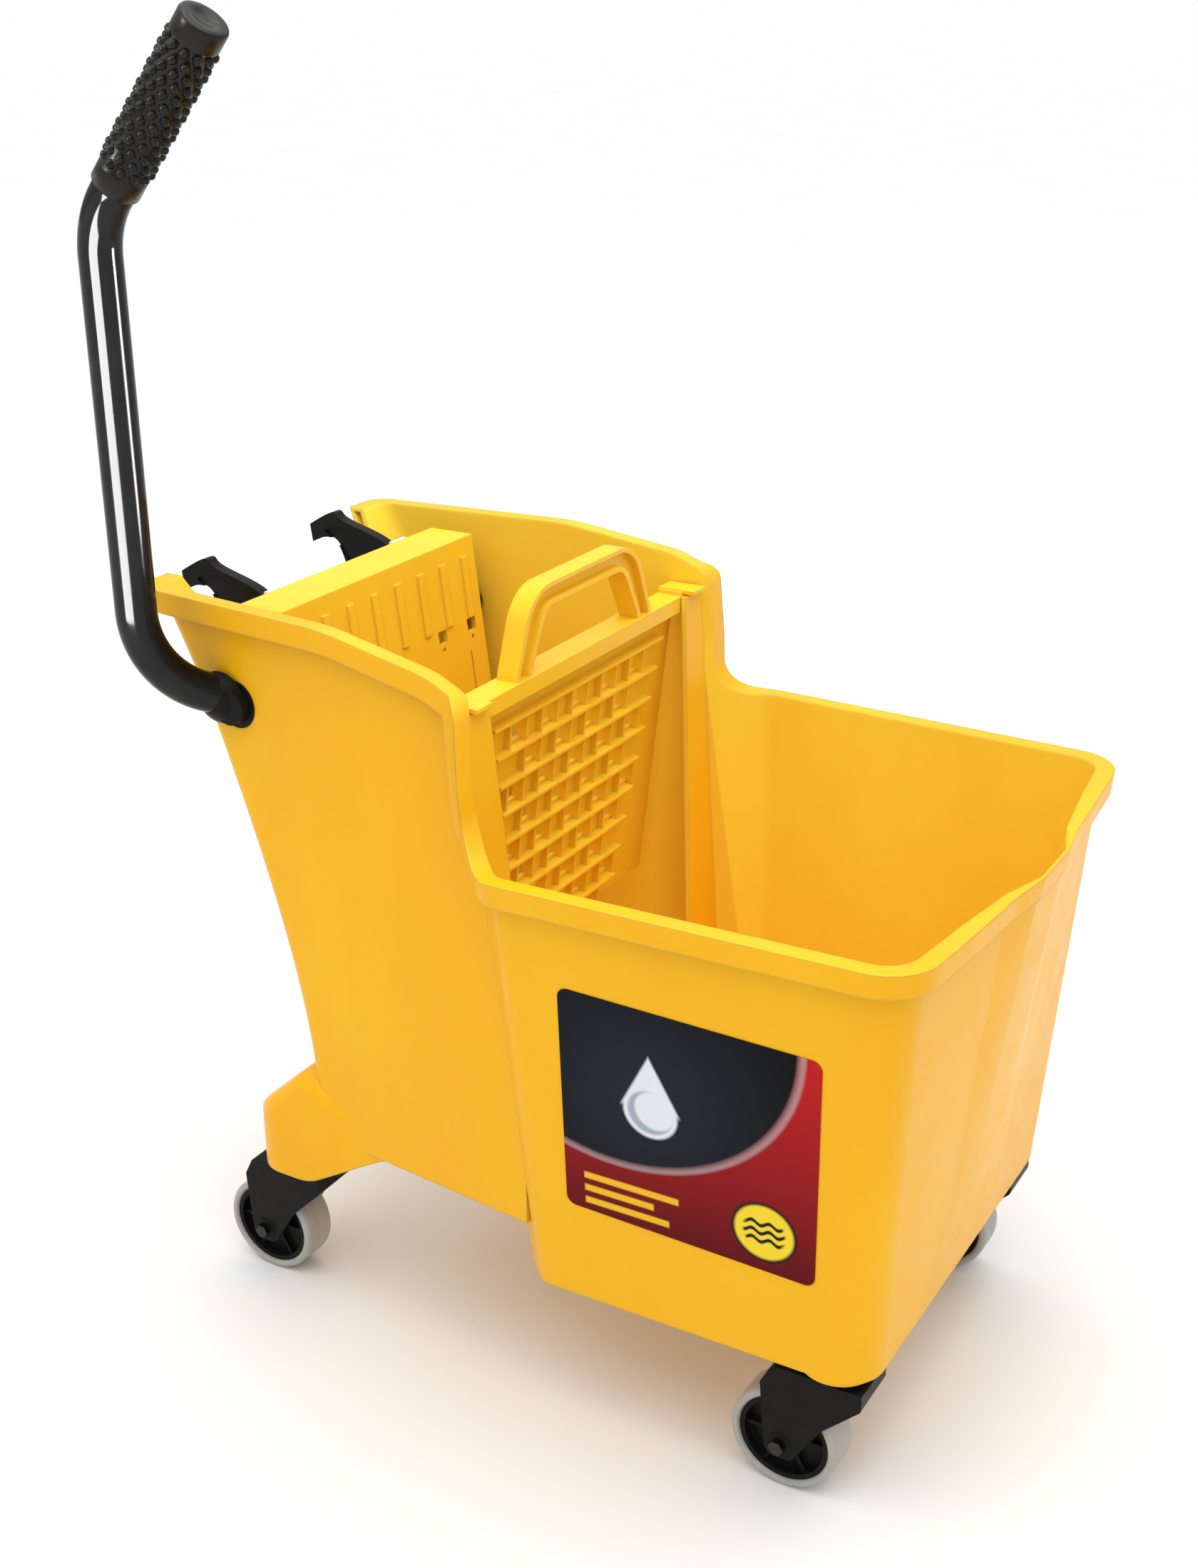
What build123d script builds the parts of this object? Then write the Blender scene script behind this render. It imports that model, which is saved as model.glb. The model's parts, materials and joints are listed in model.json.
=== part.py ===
from build123d import *
import math
import os

os.makedirs("parts", exist_ok=True)

# Mop bucket with a side-press wringer, on four swivel casters.  Millimetres, +Z up, +X towards the
# pouring nose, the lever on the -Y side.  The model is laid out from a datum under the step between
# tower and basin, and place() then moves every node so that the origin is under the middle of the box.

# ---- driving dimensions -------------------------------------------------------------------------
WALL = 4.0                 # moulded wall of the bucket
RIM_OVERHANG = 9.0         # how far the rim stands outside the wall
RIM_DEPTH = 16.0           # height of the rim's outer lip
LIP = 3.0                  # thickness of the lip and of the rim's top

BASIN_TOP = 424.0          # height of the basin's rim
BASIN_BOTTOM = 110.0
BASIN_HALF_REAR = 197.0    # half width of the wall at the rim, beside the step
BASIN_HALF_FRONT = 187.0   # the same at the front corners
BASIN_TAPER_REAR = 26.0    # how much narrower each side is at the bottom
BASIN_TAPER_FRONT = 20.0
BASIN_FRONT_TOP = 332.0    # front wall at its corners, rim height
BASIN_FRONT_BOTTOM = 315.0
CORNER_RADIUS = 27.0

TOWER_TOP = 551.0          # height of the rim round the wringer
TOWER_BOTTOM = 150.0
TOWER_HALF_REAR = 133.0    # half width at TOWER_REAR_X
TOWER_REAR_X = -273.0
TOWER_SPREAD = 0.1007      # growth of the half width per mm towards the basin
STEP_BROW = (-5.0, 537.0)   # the step in the rim, as (x, z) corners
STEP_TOP = (23.0, 525.0)
STEP_BOTTOM = (29.0, BASIN_TOP)

WHEEL_R = 38.5             # 77 mm casters
TREAD = 31.0
TRAIL = 32.0               # wheel axle behind the swivel axis
POD_BOTTOM = 105.0
POD_R = 30.0
POD_CREST = 12.0
FRONT_CASTER = (284.0, 141.0)
REAR_CASTER = (-169.0, 121.0)

LEVER_AXIS = (-186.0, 478.0)    # (x, z) of the lever's shaft
PLATE_AXIS = (-131.0, 236.0)    # (x, z) of the press plate's hinge
LEVER_TRAVEL = 80.0             # degrees
CONTACT_Z = 535.0               # height where the cams meet their pads at rest
PAD_X = -204.0                  # rear face of the pads at rest
CAM_GAP = 0.5
CAM_Y = 75.0
TUBE_R = 14.0
LEVER_Y = -188.0
LEVER_X = -227.0                # the lever's upright run
GRIP_LEAN = 40.2                # degrees forward of upright
GRIP_LENGTH = 127.0
UPPER_CORNER_Z = 804.5

FIT = 0.05                      # radial clearance of shafts in their bearings


# ---- small builders -----------------------------------------------------------------------------
def outline(points, fillets=()):
    """Closed face in plan with some of its corners rounded: fillets holds (index, radius)."""
    face = make_face(Polyline(*points, close=True))
    for index, radius in fillets:
        spot = Vector(*points[index])
        corner = min(face.vertices(), key=lambda v: (Vector(v.X, v.Y) - spot).length)
        face = fillet(corner, radius)
    return face


def side_face(points, radii=None):
    """Closed face standing in the XZ plane; radii rounds corners by index."""
    face = outline(points, (radii or {}).items())
    return Plane.XZ * face


def across(face, y_low, y_high):
    """The prism of a side face between two Y values."""
    return extrude(Pos(0, y_low, 0) * face, amount=y_high - y_low, dir=(0, 1, 0))


def rod_y(x, z, radius, y_low, y_high):
    return Pos(x, (y_low + y_high) / 2, z) * Rot(90, 0, 0) * Cylinder(radius, y_high - y_low)


def rod_z(x, y, radius, z_low, z_high):
    return Pos(x, y, (z_low + z_high) / 2) * Cylinder(radius, z_high - z_low)


def block(x_low, x_high, y_low, y_high, z_low, z_high):
    centre = ((x_low + x_high) / 2, (y_low + y_high) / 2, (z_low + z_high) / 2)
    return Pos(*centre) * Box(x_high - x_low, y_high - y_low, z_high - z_low)


def mirror_y(shape):
    return mirror(shape, about=Plane.XZ)


# ---- the bucket's hollow form --------------------------------------------------------------------
def basin_section(z, outset):
    """Plan of the basin at a height, grown outwards by outset; the nose is only at the rim."""
    rise = (z - BASIN_BOTTOM) / (BASIN_TOP - BASIN_BOTTOM)
    drop = 1 - rise
    front = BASIN_FRONT_BOTTOM + (BASIN_FRONT_TOP - BASIN_FRONT_BOTTOM) * rise
    half_front = BASIN_HALF_FRONT - BASIN_TAPER_FRONT * drop + outset
    half_rear = BASIN_HALF_REAR - BASIN_TAPER_REAR * drop + outset
    throat_x = 11.0 + 42.0 * drop
    throat_half = 150.0
    nose = max(rise, 0.0)
    shoulder_x = throat_x + half_rear - throat_half - outset * 1.41
    side = [
        (throat_x - outset * 1.41, throat_half),
        (shoulder_x, half_rear),
        (front + outset, half_front),
        (front + 8 * nose + outset * 0.9, 110),
        (front + 14.5 * nose + outset * 0.6, 58),
        (front + 23.5 * nose + outset * 0.2, 24),
    ]
    points = side + [(x, -y) for x, y in reversed(side)]
    last = len(points) - 1
    radii = [(1, 16 + outset), (2, CORNER_RADIUS + outset)]
    radii += [(last - index, radius) for index, radius in radii]
    return Pos(0, 0, z) * outline(points, radii)


def basin_form(outset, z_low, z_high):
    return loft([basin_section(z_low, outset), basin_section(z_high, outset)], ruled=True)


def tower_form(outset, z_low, z_high):
    """The wringer tower: a curved back between side walls that spread towards the basin."""
    back = [(-136.5, 100), (-141, 216), (-162, 312), (-198, 416), (-229, 490), (-266, 556)]
    curve = Spline(*[(x - outset, z) for x, z in back], tangents=[(0, 1), (-0.6, 1)])
    top_x = back[-1][0] - outset
    rest = Polyline(curve @ 1, (top_x, 640), (60, 640), (60, 100), curve @ 0)
    slab = across(Plane.XZ * make_face([curve, rest]), -220, 220)
    rear_half, front_half = tower_half(-330) + outset, tower_half(60) + outset
    plan = make_face(Polyline((-330, -rear_half), (60, -front_half), (60, front_half),
                              (-330, rear_half), close=True))
    body = slab & extrude(Pos(0, 0, z_low) * plan, amount=z_high - z_low)
    backs = [e for e in body.edges() if is_back_corner(e)]
    return fillet(backs, 12 + outset * 0.5)


def tower_half(x):
    """Half width of the tower's outside at a place along its length."""
    return TOWER_HALF_REAR + TOWER_SPREAD * (x - TOWER_REAR_X)


def is_back_corner(edge):
    """The two edges where the tower's back meets its side walls."""
    box = edge.bounding_box()
    tall = box.size.Z > 300
    return tall and box.max.X < -100 and abs(box.center().Y) > 90


def bucket_form(outset):
    """Basin and tower in one: outset 0 is the outside of the wall, -WALL the inside."""
    floor = min(outset, 0)
    basin = basin_form(outset, BASIN_BOTTOM - floor, 470.0)
    basin += extrude(basin_section(470.0, outset), amount=100)
    tower = tower_form(outset, TOWER_BOTTOM - floor, 570.0)
    return basin + tower


def below_rim(depth):
    """Everything at least depth below the rim's line, which steps down from tower to basin."""
    start, end = (-400.0, TOWER_TOP), (460.0, BASIN_TOP)
    line = FilletPolyline(start, (-95.0, TOWER_TOP), STEP_BROW, STEP_TOP, STEP_BOTTOM, end,
                          radius=[190, 60, 16, 30])
    bottom = Polyline(end, (460, 40), (-400, 40), start)
    face = make_face([line, bottom])
    if depth:
        face = offset(face, amount=-depth, kind=Kind.INTERSECTION)
    return across(Plane.XZ * face, -260, 260)


def rim(wall_form, cavity_form):
    """An overhanging rim with a turned-down lip, open underneath."""
    band = below_rim(0) - below_rim(RIM_DEPTH)
    underside = below_rim(LIP)
    solid = (bucket_form(RIM_OVERHANG) - cavity_form) & band
    pocket = (bucket_form(RIM_OVERHANG - LIP) - wall_form) & underside
    return solid - pocket


def rear_pod():
    """Rounded foot that holds a rear caster, its underside rising forward to the tower's floor."""
    x, y = REAR_CASTER
    reach = 96.0
    plan = outline([(x - POD_R, y - POD_R), (x + reach, y - POD_R), (x + reach, y + POD_R),
                    (x - POD_R, y + POD_R)], ((0, 26), (3, 26)))
    foot = extrude(Pos(0, 0, POD_BOTTOM) * plan, amount=103)
    side = side_face([(x - 60, POD_BOTTOM), (x + 24, POD_BOTTOM), (x + 92, 146),
                      (x + 110, 152), (x + 110, 176), (x + 60, 182), (x + 22, 200),
                      (x - POD_R, 152), (x - 60, 140)],
                     {1: 40, 2: 30, 5: 30, 6: 22, 7: 14})
    foot = foot & across(side, 40, 220)
    crest = [e for e in foot.edges() if e.bounding_box().min.Z > 148 and e.length > 12]
    return fillet(crest, POD_CREST)


def front_pod():
    x, y = FRONT_CASTER
    foot = rod_z(x, y, POD_R - 2, POD_BOTTOM, 165)
    return fillet(foot.edges().sort_by(Axis.Z)[0], 5)


def bucket_body():
    wall_form = bucket_form(0)
    cavity_form = bucket_form(-WALL)
    pods = front_pod() + rear_pod()
    pods += mirror_y(pods)
    shell = (wall_form + pods) - cavity_form
    body = (shell & below_rim(0)) + rim(wall_form, cavity_form)
    body += pods & cavity_form & block(-250, 330, -190, 190, 90, 150)
    body += grid_guides(cavity_form) + hinge_bosses(cavity_form)
    body -= back_notch()
    for y in (-150, 150):
        body -= rod_y(*LEVER_AXIS, BUSH_R, y - 40, y + 40)
    body -= rod_y(*PLATE_AXIS, ROD_R, -ROD_HALF, ROD_HALF)
    for x, y in caster_spots():
        body -= rod_z(x, y, SOCKET_R, POD_BOTTOM - 5, SOCKET_TOP)
    return body


def grid_guides(cavity_form):
    """Inward strips at the tower's mouth: the grid stands behind them."""
    strips = None
    for side in (1, -1):
        points = [(side * 133.5, 512), (side * 185, 512), (side * 185, 112), (side * 112, 112),
                  (side * 112, 186)]
        face = Plane.YZ * make_face(Polyline(*points, close=True))
        sheet = extrude(face, amount=WALL, dir=(1, 0, 0))
        strip = Pos(15.4, 0, 500) * Rot(0, -3.55, 0) * Pos(0, 0, -500) * sheet
        strips = strip if strips is None else strips + strip
    return strips & cavity_form


def hinge_bosses(cavity_form):
    bosses = rod_y(*PLATE_AXIS, 13, 120.5, 160) + rod_y(*PLATE_AXIS, 13, -160, -120.5)
    return bosses & cavity_form


def back_notch():
    """U-shaped cut in the tower's back for the tails of the cams."""
    face = outline([(-116, 600), (-106, 548), (-97, 520), (-88, 478), (88, 478), (97, 520),
                    (106, 548), (116, 600)], ((2, 30), (3, 20), (4, 20), (5, 30)))
    return across_x(face, -330, -180)


# ---- lever --------------------------------------------------------------------------------------
BUSH_R = 17.0
BARREL_R = 12.5
SHAFT_R = 9.0
ROD_R = 4.5
ROD_HALF = 136.0
NEAR_WALL_Y = -tower_half(LEVER_AXIS[0])
FAR_WALL_Y = -NEAR_WALL_Y


def lever_path():
    """Centre line: plugs into the hub, sweeps out and up in one bend, then leans into the grip."""
    lean = math.radians(GRIP_LEAN)
    bend = 70.0
    heading = Vector(0.55, 0.835, 0)
    low = Vector(LEVER_X, LEVER_Y, 482)
    grip_end = Vector(LEVER_X, LEVER_Y, UPPER_CORNER_Z) + Vector(
        math.sin(lean), 0, math.cos(lean)) * (GRIP_LENGTH + 24.5)
    start = low + heading * (bend + 1.0)
    path = FilletPolyline(start, low, (LEVER_X, LEVER_Y, UPPER_CORNER_Z), grip_end,
                          radius=[bend, 60])
    return path


def tube_end_cut():
    """Everything inside the tower: the tube stops in the hub, just outside the wall."""
    return block(-260, -100, NEAR_WALL_Y - 4, 200, 400, 560)


def lever_tube():
    path = lever_path()
    start = path @ 0
    along = path % 0
    ring = Circle(TUBE_R) - Circle(TUBE_R - 1.6)
    tube = sweep(Plane(start, z_dir=along) * ring, path=path)
    return tube - tube_end_cut()


def lever_tube_core():
    path = lever_path()
    return sweep(Plane(path @ 0, z_dir=path % 0) * Circle(TUBE_R), path=path)


def lever_hub():
    """Moulded knuckle that takes the tube's end outside the wall and turns in the near bush."""
    x, z = LEVER_AXIS
    knuckle = Pos(x - 11, NEAR_WALL_Y + 4, z + 4) * Sphere(20.5)
    knuckle &= block(x - 60, x + 60, NEAR_WALL_Y - 60, NEAR_WALL_Y - 3, z - 60, z + 60)
    barrel = rod_y(x, z, BARREL_R, NEAR_WALL_Y - 10, NEAR_WALL_Y + 34)
    hub = knuckle + barrel
    tube_bore = lever_tube_core() - tube_end_cut()
    return hub - tube_bore - rod_y(x, z, SHAFT_R, NEAR_WALL_Y + 4, 0)


def grip_axis():
    lean = math.radians(GRIP_LEAN)
    direction = Vector(math.sin(lean), 0, math.cos(lean))
    return Vector(LEVER_X, LEVER_Y, UPPER_CORNER_Z) + direction * 28, direction


def lever_grip():
    """Rubber sleeve with a collar at each end and a closed top."""
    start, direction = grip_axis()
    frame = Plane(start, x_dir=(0, 1, 0), z_dir=direction)
    collar = 16.0
    sleeve = Pos(0, 0, GRIP_LENGTH / 2) * Cylinder(15.4, GRIP_LENGTH)
    for z in (0, GRIP_LENGTH - collar):
        sleeve += Pos(0, 0, z + collar / 2) * Cylinder(16.2, collar)
    rows, around = 9, 9
    nubs = []
    for row in range(rows):
        z = collar + 7 + row * (GRIP_LENGTH - 2 * collar - 14) / (rows - 1)
        for step in range(around):
            angle = 360 / around * (step + 0.5 * (row % 2))
            nubs.append(Rot(0, 0, angle) * Pos(15.2, 0, z) * Rot(0, 90, 0) * Cylinder(3.0, 4.4))
    sleeve = sleeve + nubs
    sleeve = frame.location * sleeve
    return sleeve - lever_tube_core()


def cross_shaft():
    x, z = LEVER_AXIS
    return rod_y(x, z, SHAFT_R, NEAR_WALL_Y + 4, FAR_WALL_Y + 6)


def shaft_bush(side):
    """Flanged bush in the tower's side wall; side is -1 for the lever's side."""
    x, z = LEVER_AXIS
    bore = (BARREL_R if side < 0 else SHAFT_R) + FIT
    wall = FAR_WALL_Y
    sleeve = rod_y(x, z, BUSH_R, wall - WALL - 6, wall + 1)
    flange = rod_y(x, z, BUSH_R + 3, wall - WALL - 6, wall - WALL - 3)
    bush = sleeve + flange - rod_y(x, z, bore, 0, 200)
    return mirror_y(bush) if side < 0 else bush


def shaft_end_cap():
    x, z = LEVER_AXIS
    cap = rod_y(x, z, 14.0, FAR_WALL_Y + 1.8, FAR_WALL_Y + 9)
    return cap - rod_y(x, z, SHAFT_R, 0, FAR_WALL_Y + 6)


def shaft_collar():
    """Keeps the shaft from sliding: clamped just inside the far bush."""
    x, z = LEVER_AXIS
    high = FAR_WALL_Y - WALL - 6.8
    return rod_y(x, z, 14.0, high - 9, high) - rod_y(x, z, SHAFT_R, 0, 200)


def plate_ratio():
    """Plate angle per lever angle, from where the contact force crosses the line of the axes."""
    return 1 / (1 + axis_distance() / pitch_reach())


def axis_distance():
    return math.dist(LEVER_AXIS, PLATE_AXIS)


def pitch_reach():
    drop = LEVER_AXIS[1] - PLATE_AXIS[1]
    return (CONTACT_Z - LEVER_AXIS[1]) * axis_distance() / drop


def pitch_point():
    reach = pitch_reach() / axis_distance()
    return tuple(a + (a - b) * reach for a, b in zip(LEVER_AXIS, PLATE_AXIS))


def turn(point, centre, degrees):
    """Turns (x, z) about a centre, positive forward: from +Z towards +X."""
    angle = math.radians(degrees)
    dx, dz = point[0] - centre[0], point[1] - centre[1]
    return (centre[0] + dx * math.cos(angle) + dz * math.sin(angle),
            centre[1] - dx * math.sin(angle) + dz * math.cos(angle))


def cam_point(lever_angle):
    """Point of the cam's face that meets the pad when the lever has turned this far."""
    plate_angle = lever_angle * plate_ratio()
    low = turn((PAD_X - CAM_GAP, 0), PLATE_AXIS, plate_angle)
    high = turn((PAD_X - CAM_GAP, 600), PLATE_AXIS, plate_angle)
    along = Vector(high[0] - low[0], high[1] - low[1]).normalized()
    pitch = pitch_point()
    reach = Vector(pitch[0] - low[0], pitch[1] - low[1]).dot(along)
    foot = (low[0] + along.X * reach, low[1] + along.Y * reach)
    return turn(foot, LEVER_AXIS, -lever_angle)


def cam_outline():
    """Axe-shaped arm: a face that follows the pad all the way, and a hooked tail."""
    x, z = LEVER_AXIS
    start = cam_point(48)
    crown = (x - 70, z + 75)
    tip_top = (x - 98, z + 66)
    tip_low = (x - 96, z + 52)
    beak = (x - 76, z + 57)
    heel = (x - 62, z + 31)
    waist = (x - 32, z + 14)
    back = (x - 9, z - 10)
    upper = Spline(start, cam_point(64), cam_point(LEVER_TRAVEL), crown, tip_top,
                   tangents=[(-0.63, 0.78), (-0.85, -0.53)])
    notch = Spline(tip_low, beak, heel, tangents=[(0.85, 0.5), (0.3, -1)])
    rest = Polyline(heel, waist, back, (start[0], z + 9), start)
    return make_face([upper, Line(tip_top, tip_low), notch, rest])


def cam_recess():
    """Shallow hollow in the arm's flanks, which leaves a raised border along its upper edge."""
    x, z = LEVER_AXIS
    upper = Spline((x - 24, z + 50), (x - 42, z + 60), (x - 69, z + 67.5), (x - 84, z + 62))
    rest = Polyline((x - 84, z + 62), (x - 70, z + 52), (x - 54, z + 28), (x - 24, z + 12),
                    (x - 24, z + 50))
    return make_face([upper, rest])


def press_cam(side):
    """Cam arm with a raised border and a boss that is bolted to the shaft."""
    x, z = LEVER_AXIS
    thick = 9.0
    arm = across(Plane.XZ * cam_outline(), -thick / 2, thick / 2)
    inner = cam_recess()
    recess = across(Plane.XZ * inner, thick / 2 - 2, thick / 2 + 1)
    arm -= recess
    arm -= mirror_y(recess)
    boss = rod_y(x, z, 15.5, -12, 12)
    cam = arm + boss - rod_y(x, z, SHAFT_R, -20, 20)
    cam -= rod_z(x, 8, 2.5, z - 20, z + 20)
    return Pos(0, side * CAM_Y, 0) * cam


def cam_bolts():
    """One cross bolt with its nut through each cam boss and the shaft."""
    x, z = LEVER_AXIS
    bolts = Part()
    for side in (1, -1):
        y = side * CAM_Y + 8
        bolt = rod_z(x, y, 2.5, z - 18, z + 15.4)
        bolt += Pos(x, y, z + 17.2) * extrude(RegularPolygon(4.4, 6), amount=1.8, both=True)
        bolt += Pos(x, y, z - 17.4) * extrude(RegularPolygon(4.4, 6), amount=1.9, both=True)
        bolts += bolt
    return bolts


def shaft_with_bolt_holes():
    x, z = LEVER_AXIS
    shaft = cross_shaft()
    for side in (1, -1):
        shaft -= rod_z(x, side * CAM_Y + 8, 2.5, z - 20, z + 20)
    return shaft


# ---- press plate --------------------------------------------------------------------------------
PLATE_HALF = 117.0
PLATE_LEAN = 7.0
PLATE_TOP = 541.0


def press_plate():
    """Leaning plate on a bottom hinge, with a deep top flange and a pad for each cam."""
    x, z = PLATE_AXIS
    lean = Pos(x, 0, z) * Rot(0, -PLATE_LEAN, 0)
    tall = (PLATE_TOP - z) / math.cos(math.radians(PLATE_LEAN)) - 1
    sheet = lean * block(2, 6.5, -PLATE_HALF, PLATE_HALF, -2, tall)
    for y in (-PLATE_HALF + 1.5, -38, 0, 38, PLATE_HALF - 1.5):
        sheet += lean * block(-6, 3, y - 1.5, y + 1.5, 6, tall - 4)
    for level in (60, 130, 200):
        sheet += lean * block(-6, 3, -PLATE_HALF, PLATE_HALF, level - 1.5, level + 1.5)
    front_x = x + 6.5 - (PLATE_TOP - z) * math.tan(math.radians(PLATE_LEAN))
    top = block(PAD_X + 4, front_x, -PLATE_HALF, PLATE_HALF, PLATE_TOP - 5, PLATE_TOP)
    top += block(PAD_X + 4, PAD_X + 8, -PLATE_HALF, PLATE_HALF, PLATE_TOP - 16, PLATE_TOP)
    plate = sheet + top + rod_y(x, z, 7.5, -PLATE_HALF, PLATE_HALF)
    for side in (1, -1):
        y = side * CAM_Y
        web = side_face([(PAD_X + 4, PLATE_TOP), (PAD_X + 4, 499), (-157, 499), (-163, PLATE_TOP)])
        plate += across(web, y - 9, y - 6) + across(web, y + 6, y + 9)
        plate += block(PAD_X + 4, PAD_X + 8, y - 9, y + 9, 499, PLATE_TOP)
    for index in range(8):
        y = -PLATE_HALF + 16 + index * (2 * PLATE_HALF - 32) / 7
        plate += lean * block(6, 8.2, y - 4, y + 4, tall - 62, tall - 14)
    for side in (1, -1):
        for y in (side * 62, side * 101):
            plate -= lean * block(-2, 20, y - 5.5, y + 5.5, tall - 73, tall - 63)
            plate -= lean * Pos(4, y, tall - 78) * Rot(0, 90, 0) * Cylinder(1.8, 24)
        plate -= lean * block(0, 20, side * 96 - 0.8, side * 96 + 0.8, tall - 128, tall - 88)
    return plate - rod_y(x, z, ROD_R + FIT, -200, 200)


def press_pads():
    """Slippery wear pads where the cams bear."""
    pads = Part()
    for side in (1, -1):
        y = side * CAM_Y
        pads += block(PAD_X, PAD_X + 4, y - 9, y + 9, 499, PLATE_TOP)
    return pads


# ---- lift-out grid ------------------------------------------------------------------------------
GRID_PITCH = 22.8
GRID_TOP_Z = 500.0
GRID_LEAN = 5.3
GRID_ROWS = 9


def grid_plate():
    """Pressing grid: a leaning plate with staggered windows, fins, a flange and a loop handle."""
    lean = Pos(4.0, 0, GRID_TOP_Z) * Rot(0, GRID_LEAN, 0)
    low = -(GRID_ROWS + 0.35) * GRID_PITCH
    plan = [(-139, 0), (139, 0), (124, low), (-124, low)]
    sheet = extrude(Plane.YZ * make_face(Polyline(*plan, close=True)), amount=3.5, dir=(-1, 0, 0))
    fins = []
    windows = []
    for row in range(GRID_ROWS):
        z = -14.5 - row * GRID_PITCH
        half = 115.0 - 5.6 * row
        fins.append(block(-1, 8, -half, half, z - 1.2, z + 1.2))
        shift = 20.0 if row % 2 else 0.0
        count = int((half - 12) // 40) + 1
        for column in range(-count, count + 1):
            y = column * 40.0 + shift
            if abs(y) > half - 10:
                continue
            windows.append(block(-10, 1, y - 9.5, y + 9.5, z - GRID_PITCH + 3.2, z - 3.2))
            for edge in (y - 10.5, y + 10.5):
                fins.append(block(-1, 5, edge - 1, edge + 1, z - GRID_PITCH + 1, z - 1))
    grid = lean * (sheet + fins - windows)
    grid += block(-6, 14.5, -140, 140, GRID_TOP_Z, GRID_TOP_Z + 12)
    for side in (1, -1):
        grid += block(-6, 24, side * 146 - 9, side * 146 + 9, 513, 516)
        grid += block(-6, 14.5, side * 141 - 6, side * 141 + 6, GRID_TOP_Z + 4, 515)
    return grid + grid_handle()


def grid_handle():
    outer = handle_loop(0)
    inner = handle_loop(19)
    web = across_x(outer - inner, 3.0, 7.0)
    bands = across_x(outer - handle_loop(4), -3.5, 12.5)
    bands += across_x(handle_loop(15) - inner, -3.5, 12.5)
    above = block(-20, 30, -200, 200, GRID_TOP_Z + 8, 620)
    return (web + bands) & above


def handle_loop(inset):
    """Face of the loop handle's trapezium, shrunk by inset on its sides and top."""
    corners = [(-97 + inset, 480), (-90 + inset, 516), (-70 + inset, 570 - inset * 0.85),
               (70 - inset, 570 - inset * 0.85), (90 - inset, 516), (97 - inset, 480)]
    radius = 26 - inset
    return outline(corners, ((2, radius + 8), (3, radius + 8)))


def across_x(face, x_low, x_high):
    standing = Plane.YZ * face
    return extrude(Pos(x_low, 0, 0) * standing, amount=x_high - x_low, dir=(1, 0, 0))


# ---- casters ------------------------------------------------------------------------------------
SOCKET_R = 10.0
SOCKET_TOP = 142.0
STEM_R = 5.5
AXLE_R = 4.0
FORK_HALF = 20.5


def caster_spots():
    return [(x, side * y) for x, y in (FRONT_CASTER, REAR_CASTER) for side in (-1, 1)]


def stem_socket(x, y):
    """Plastic sleeve pressed up into the foot; the caster's stem turns in it."""
    sleeve = rod_z(x, y, SOCKET_R, POD_BOTTOM - 1, SOCKET_TOP)
    sleeve += rod_z(x, y, 19, POD_BOTTOM - 3, POD_BOTTOM)
    return sleeve - rod_z(x, y, STEM_R + FIT, 60, SOCKET_TOP - 4)


def caster_stem(x, y):
    return rod_z(x, y, STEM_R, 87, SOCKET_TOP - 6)


def caster_yoke(x, y):
    """Fork with a solid crown that narrows to a boss at the axle."""
    axle = x - TRAIL
    crown_z = 84.0
    crown_top = POD_BOTTOM - 4
    cheek_face = side_face([(axle - 7, crown_top), (axle - 15, crown_top - 16), (axle - 13, 60),
                            (axle - 10, WHEEL_R - 10), (axle + 9, WHEEL_R - 10),
                            (axle + 30, 62), (x + 25, crown_top - 12), (x + 25, crown_top)],
                           {0: 5, 1: 5, 3: 8, 4: 7, 5: 20, 6: 4})
    cheek = across(cheek_face, TREAD / 2 + 1.3, FORK_HALF)
    cheek += rod_y(axle, WHEEL_R, 9, TREAD / 2 + 0.6, FORK_HALF + 1)
    above_wheel = block(x - 80, x + 60, -40, 40, crown_z - 2, crown_top)
    crown = across(cheek_face, -FORK_HALF, FORK_HALF) & above_wheel
    yoke = Pos(0, y, 0) * (cheek + mirror_y(cheek) + crown)
    yoke -= rod_y(axle, WHEEL_R, AXLE_R, y - 40, y + 40)
    return yoke - rod_z(x, y, STEM_R, crown_z + 3, 120)


def caster_axle(x, y):
    """Axle bolt with its head outside one cheek."""
    axle = x - TRAIL
    head = Pos(axle, y - FORK_HALF - 3.0, WHEEL_R) * Rot(90, 0, 0) * extrude(
        RegularPolygon(5.6, 6), amount=2.0, both=True)
    return rod_y(axle, WHEEL_R, AXLE_R, y - FORK_HALF - 2, y + FORK_HALF + 4.5) + head


def caster_nut(x, y):
    axle = x - TRAIL
    nut = Pos(axle, y + FORK_HALF + 3.2, WHEEL_R) * Rot(90, 0, 0) * extrude(
        RegularPolygon(5.6, 6), amount=2.2, both=True)
    return nut - rod_y(axle, WHEEL_R, AXLE_R, y, y + 60)


def wheel_hub(x, y):
    """Dished plastic wheel centre with spokes on both faces."""
    axle = x - TRAIL
    half = TREAD / 2
    hub = rod_y(axle, WHEEL_R, 32.5, y - 12.5, y + 12.5)
    for low, high in ((y - 13, y - 5), (y + 5, y + 13)):
        hub -= rod_y(axle, WHEEL_R, 29, low, high)
    hub += rod_y(axle, WHEEL_R, 9, y - half + 0.2, y + half - 0.2)
    for index in range(6):
        spoke = block(8, 30, -1.3, 1.3, -9, 9)
        hub += Pos(axle, y, WHEEL_R) * Rot(90, 0, 0) * Rot(0, 0, index * 60) * spoke
    return hub - rod_y(axle, WHEEL_R, AXLE_R + FIT, y - 40, y + 40)


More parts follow.
